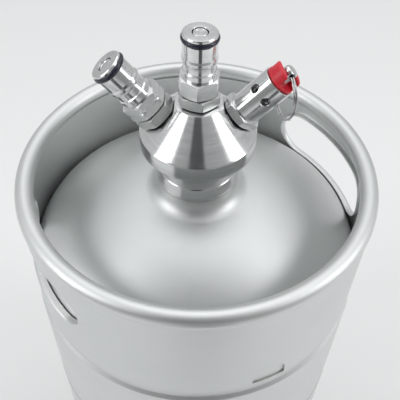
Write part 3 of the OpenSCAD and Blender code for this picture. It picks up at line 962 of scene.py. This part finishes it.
def hexagon_side(z0, z1, inner_low, inner_high):
    """Outline of a chamfered hexagon's side, from its lower face to its upper face."""
    chamfer = 0.8
    edge = HEX_R - 1.5
    lower = [(inner_low, z0), (edge - 0.6, z0), (edge - 0.1, z0 + 0.01)]
    rise = [(edge + (HEX_R + 0.2 - edge) * k / 5, z0 + 0.02 + chamfer * k / 5) for k in range(1, 6)]
    drop = [(r, z0 + z1 - z) for r, z in reversed(rise)]
    upper = [(edge - 0.1, z1 - 0.01), (edge - 0.6, z1), (inner_high, z1)]
    return lower + rise + drop + upper


def adapter(node, place, stub, bore, turn, material):
    """The hexagon between the cap and a post, with its stub below and its nipple above."""
    top, well = 16.0, 1.7
    side = hexagon_side(0, 6.4, STUB_R, 9.0)
    outline = rounded([(bore, -stub, 0.2), (STUB_R, -stub, 0.5), (STUB_R, -0.3, 0)])
    outline += side + rounded([(9.0, 7.2, 0.2), (7.0, 7.2, 0), (7.0, top, 0.4), (bore + 1.6, top, 0.2),
                               (bore + 1.6, top - well, 0), (bore, top - well, 0.1)])
    thing = lathe(f"{node}_turned", outline, hexagon_angles(turn), hexagonal(turn, 0, 6.4), 28)
    finish_piece(thing, material, "cap", [node], place)


def post(node, place, turn, notched, material):
    """A ball lock post: hexagon, locking groove, shoulder, sealing cylinder and O-ring groove."""
    h0, h1 = 7.2, 17.2
    side = hexagon_side(h0, h1, 7.05, POST_R + 0.1)
    if notched:
        middle = (h0 + h1) / 2
        notch = ((0.2, -1.15), (-0.4, -0.6), (-0.95, -0.05), (-0.95, 0.05), (-0.4, 0.6), (0.2, 1.15))
        cut_in = [(HEX_R + out, middle + up) for out, up in notch]
        split = len(side) // 2
        side = side[:split] + cut_in + side[split:]
    above = rounded([
        (POST_R + 0.1, h1, 0), (POST_R + 0.1, 21.1, 0.35), (POST_R - 0.7, 21.7, 0.4),
        (POST_R - 0.7, 25.6, 0.35), (POST_R - 0.1, 26.4, 0.5), (POST_R + 0.45, 27.4, 0.7),
        (POST_R + 0.45, 28.8, 0.7), (POST_R, 30.1, 0.5), (POST_R, 38, 0.2), (POST_R - 1.2, 38, 0),
        (POST_R - 1.2, 41.1, 0), (POST_R + 0.15, 41.1, 0.15), (POST_R + 0.15, 42.0, 0.3),
        (POST_R - 0.45, POST_H, 0.25), (4.3, POST_H, 0.25), (4.15, 36.5, 0), (6.0, 36.4, 0.2),
        (6.0, h1, 0), (7.05, h1 - 0.1, 0),
    ], 4)
    reach = hexagonal(turn, h0, h1)
    thing = lathe(f"{node}_turned", side + above[1:], hexagon_angles(turn), reach, 28)
    finish_piece(thing, material, "cap", [node], place)


O_RING_SECTION, O_RING_H = 1.45, 39.55


def o_ring(name, node, place, material):
    """A post's O-ring. The part of its section against the groove's floor is left flat."""
    centre_r = POST_R + 0.9 - O_RING_SECTION
    half = 112
    outline = arc(centre_r, O_RING_H, O_RING_SECTION, -half, half, 20)
    thing = lathe(name, outline, even_angles(96))
    finish_piece(thing, material, "cap", [node], place)


def poppet(node, place, material):
    """The plug in a post's mouth, with a dished face."""
    corners = [
        (0, 29, 0), (2.6, 29, 0.4), (2.6, 33, 0.2), (5.5, 33, 0.3), (5.5, 35, 0.2), (3.8, 35, 0.2),
        (3.8, 42.3, 0.45), (2.9, 42.3, 0.25), (2.6, 42.0, 0.25), (0, 42.05, 0),
    ]
    thing = lathe(f"{node}_turned", rounded(corners, 5), even_angles(96))
    finish_piece(thing, material, f"{node}_body", [node], place)


COIL_GAP = 0.05
COIL_STEPS = 24


def spring(node, place, coil_r, wire_r, ends, turns, material):
    """A coil between two heights."""
    base, top = ends
    start = base + wire_r + COIL_GAP
    rise = top - base - 2 * (wire_r + COIL_GAP)
    steps = turns * COIL_STEPS
    path = []
    for k in range(steps + 1):
        turn = 2 * math.pi * turns * k / steps
        path.append((coil_r * math.cos(turn), coil_r * math.sin(turn), start + rise * k / steps))
    thing = tube_along(f"{node}_wire", path, wire_r, 10)
    finish_piece(thing, material, "cap", [node], place)
    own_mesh(thing)


# ---------------------------------------------------------------- relief valve

RELIEF_R = 9.35
RELIEF_H, RELIEF_HEX = 29.8, 4.9
VENT_DIR, VENT_H = 23, 19.8
VENT_R, VENT_MOUTH_R = 2.5, 4.3
KNOB_R, LOBE_R = 8.7, 8.4
KNOB_LOW, KNOB_DISC, KNOB_TOP = 30.1, 31.8, 37.9
SLOT_DIR, SLOT_W = 20, 9.7
RIM_SHARE, TIP_ROUND = 0.84, 1.7
STEM_R, STEM_HEAD_R, STEM_TOP = 3.0, 4.0, 40.0
EYE_H, EYE_DIR, EYE_R = 37.3, 15, 1.9
RING_R, WIRE_R, RING_LEAN = 13.9, 0.6, 3.5


def countersunk(name, turn):
    """Cutter for a vent hole through the body, with a small countersink at both ends."""
    narrow, wide, end = 8.9, 10.7, 14
    outline = [
        (0, -end), (VENT_MOUTH_R, -end), (VENT_MOUTH_R, -wide), (VENT_R, -narrow),
        (VENT_R, narrow), (VENT_MOUTH_R, wide), (VENT_MOUTH_R, end), (0, end),
    ]
    cutter = lathe(name, outline, even_angles(64))
    cutter.data.transform(turn)
    return cutter


def relief_body(place, material):
    """The relief valve's hexagon and barrel, with three vent holes right through."""
    side = hexagon_side(0, RELIEF_HEX, STUB_R, RELIEF_R)
    outline = rounded([(2.5, -4.1, 0.2), (STUB_R, -4.1, 0.5), (STUB_R, -0.2, 0)])
    outline += side + rounded([
        (RELIEF_R, RELIEF_HEX, 0), (RELIEF_R, RELIEF_H, 0.45), (3.06, RELIEF_H, 0.2), (3.06, 27.3, 0),
        (7.6, 27.3, 0.3), (7.6, 6.4, 0.3), (2.5, 6.4, 0.2),
    ], 4)[1:]
    reach = hexagonal(VENT_DIR, 0, RELIEF_HEX)
    thing = lathe("relief_body_turned", outline, hexagon_angles(VENT_DIR), reach, 28)
    tools = []
    for k in range(3):
        turn = at_axis(VENT_H) @ turned(VENT_DIR + 60 * k, "Z") @ turned(90, "Y")
        tools.append(countersunk(f"vent{k}", turn))
    cut(thing, *tools)
    smooth_by_angle(thing, 28)
    finish_piece(thing, material, "cap", ["relief_body"], place)


def at_eye(place):
    """Upright at the eye in the stem's head, and facing as the pull ring does."""
    facing = turned(EYE_DIR, "Z")
    return Matrix.Translation(place @ Vector((0, 0, EYE_H * MM))) @ facing


def relief_stem(place, material):
    """The pulled stem: the seal's holder below, and a round head with the ring's eye above."""
    head_low = KNOB_DISC + 0.05
    corners = [
        (0, 8.8, 0), (6.9, 8.8, 0.3), (6.9, 10.4, 0.3), (STEM_R, 10.4, 0.4), (STEM_R, head_low, 0),
        (STEM_HEAD_R, head_low, 0.2), (STEM_HEAD_R, STEM_TOP, 1.8), (0, STEM_TOP, 0),
    ]
    thing = lathe("relief_stem_turned", rounded(corners, 5), even_angles(96))
    through = place.inverted() @ at_eye(place) @ turned(90, "X")
    drill = rod("eye", EYE_R, -10, 10, through, 48)
    cut(thing, drill)
    smooth_by_angle(thing, 30)
    finish_piece(thing, material, "relief_pin", ["relief_stem"], place)


def lobe_outline(inset):
    """Outline of one lobe between the slot's side and the knob's rim, set in from both."""
    radius = LOBE_R - inset
    flat = SLOT_W / 2 + inset * 0.55
    reach = math.acos(flat / radius)
    rim = arc(0, 0, radius, -math.degrees(reach) * RIM_SHARE, math.degrees(reach) * RIM_SHARE, 28)
    tip = radius * math.sin(reach)
    start, corner, end = Vector(rim[-1]), Vector((flat, tip)), Vector((flat, tip - TIP_ROUND))
    bend = []
    for k in range(1, 6):
        u = k / 6
        bend.append(start * (1 - u) ** 2 + corner * 2 * u * (1 - u) + end * u ** 2)
    straight = [(flat, (tip - TIP_ROUND) * (1 - k / 3)) for k in range(7)]
    return rim + [(p.x, p.y) for p in bend] + straight + [(p.x, -p.y) for p in reversed(bend)]


def relief_knob(place, material):
    """A disc with two rounded lobes and a wide slot between them."""
    soft = 1.2
    plain = (KNOB_DISC - 0.6, KNOB_DISC + 0.3, KNOB_DISC + 2, KNOB_TOP - soft - 1)
    levels = [(height, 0.0) for height in plain]
    levels += [(KNOB_TOP - soft + soft * math.sin(a), soft * (1 - math.cos(a)))
               for a in (math.pi / 2 * k / 6 for k in range(7))]
    points, faces = [], []
    for flip in (1, -1):
        first = len(points)
        for height, inset in levels:
            points += [(x * flip, y * flip, height) for x, y in lobe_outline(inset)]
        count = (len(points) - first) // len(levels)
        for level in range(len(levels) - 1):
            for k in range(count):
                here, there = first + level * count, first + (level + 1) * count
                m = (k + 1) % count
                faces.append((here + k, here + m, there + m, there + k))
        faces.append(tuple(first + (len(levels) - 1) * count + k for k in range(count)))
        faces.append(tuple(first + k for k in reversed(range(count))))
    lobes = make_object("lobes", points, faces, 42)
    disc = lathe("relief_knob_moulded", rounded([
        (STEM_R + 0.06, KNOB_LOW, 0.2), (KNOB_R, KNOB_LOW, 0.5), (KNOB_R, KNOB_DISC, 0.5),
        (STEM_R + 0.06, KNOB_DISC, 0.2)]), even_angles(96))
    with bpy.context.temp_override(active_object=disc, selected_editable_objects=[disc, lobes]):
        bpy.ops.object.join()
    smooth_by_angle(disc, 42)
    facing = place @ turned(SLOT_DIR, "Z")
    finish_piece(disc, material, "relief_pin", ["relief_knob"], facing)


def pull_ring(place, material):
    """A split ring: two turns side by side, with one crossing where the wire steps over."""
    gap = 2 * WIRE_R + 0.05
    crossing, start, steps = 28, 255, 180
    path = []
    for k in range(steps + 1):
        a = crossing + (720 - 2 * crossing) * k / steps
        t = max(0.0, min(1.0, (a - 360 + crossing) / (2 * crossing)))
        ease = t * t * (3 - 2 * t)
        turn = math.radians(a + start)
        path.append((-gap / 2 + gap * ease, RING_R * math.sin(turn), RING_R * math.cos(turn)))
    thing = tube_along("pull_ring_wire", path, WIRE_R, 18)
    lean = turned(RING_LEAN, "Y")
    hung = at_eye(place) @ lean @ at_axis(-RING_R)
    finish_piece(thing, material, "ring_body", ["pull_ring"], hung)


# ---------------------------------------------------------------- the whole keg

def dress(material, *nodes):
    """Gives CAD nodes that keep their own shape a material."""
    for node in nodes:
        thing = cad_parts[node]
        thing.data.materials.clear()
        thing.data.materials.append(material)


def build():
    satin = satin_steel()
    polished = turned_steel("polished_steel", (0.70, 0.71, 0.71), (0.80, 0.81, 0.81), 0.15, 0.22, 0.8)
    machined = turned_steel("neck_steel", (0.60, 0.61, 0.61), (0.70, 0.71, 0.71), 0.18, 0.27, 0.5)
    milled = turned_steel("milled_steel", (0.50, 0.52, 0.51), (0.61, 0.63, 0.62), 0.25, 0.34, 0.5)
    drawn = turned_steel("tube_steel", (0.58, 0.59, 0.59), (0.66, 0.67, 0.67), 0.22, 0.32, 0.2)
    wire = wire_steel()
    weld = weld_steel()
    black = rubber("black_rubber", (0.012, 0.012, 0.014), (0.03, 0.03, 0.032), 0.45, 0.65, 0.0)
    navy = rubber("navy_rubber", (0.004, 0.006, 0.016), (0.008, 0.012, 0.035), 0.18, 0.34, 0.35)
    white = rubber("white_silicone", (0.72, 0.72, 0.69), (0.82, 0.82, 0.79), 0.45, 0.6, 0.0)
    red = red_plastic()

    top_chime(satin)
    bottom_chime(satin)
    shells(satin)
    welds(weld)
    neck(machined)
    cap(polished)

    on_top = at_axis(high("tap_cap").z + WASHER)
    on_left = leaning(-1) @ at_axis(WASHER)
    on_right = leaning(1) @ at_axis(WASHER)
    for name, place in (("beer", on_top), ("gas", on_left), ("relief", on_right)):
        washer(f"{name}_washer", place, black)
    adapter("beer_adapter", on_top, 12.7, 4.1, 38, milled)
    adapter("gas_adapter", on_left, 4.1, 3.1, 30, milled)
    post("beer_post", on_top, 24, False, polished)
    post("gas_post", on_left, 30, True, polished)
    for name, place in (("beer", on_top), ("gas", on_left)):
        o_ring(f"{name}_o_ring", f"{name}_post_seal", place, navy)
        poppet(f"{name}_poppet", place, polished)
        spring(f"{name}_spring", place, 4.4, 0.45, (16.9, 33), 6, wire)
    relief_body(on_right, polished)
    relief_stem(on_right, polished)
    relief_knob(on_right, red)
    spring("relief_spring", on_right, 5.2, 0.5, (10.4, 27.3), 7, wire)
    pull_ring(on_right, wire)
    dress(drawn, "beer_tube", "gas_tube")
    dress(black, "beer_tube_seal", "gas_tube_seal", "beer_poppet_seal", "gas_poppet_seal",
          "relief_seal")
    dress(white, "cap_gasket")


add_camera()
add_world()
add_floor()
bpy.context.scene.view_settings.view_transform = "Standard"
add_flag("flag_low", [(-0.3, -2.4, 0.01), (0.4, -2.4, 0.01),
                      (0.12, -0.42, 0.01), (-0.08, -0.42, 0.01)])
add_flag("flag_high", [(-0.32, -1.1, 0.5), (0.2, -1.1, 0.5), (0.2, -0.7, 1.9), (-0.32, -0.7, 1.9)])
add_area("overhead", (0.1, 0.5, 1.9), (2.0, 1.6), 8)
add_area("left", (-1.4, -0.5, 1.2), (0.7, 1.3), 7.5)
add_area("right", (1.4, -0.3, 1.1), (0.6, 1.3), 6.5)
build()
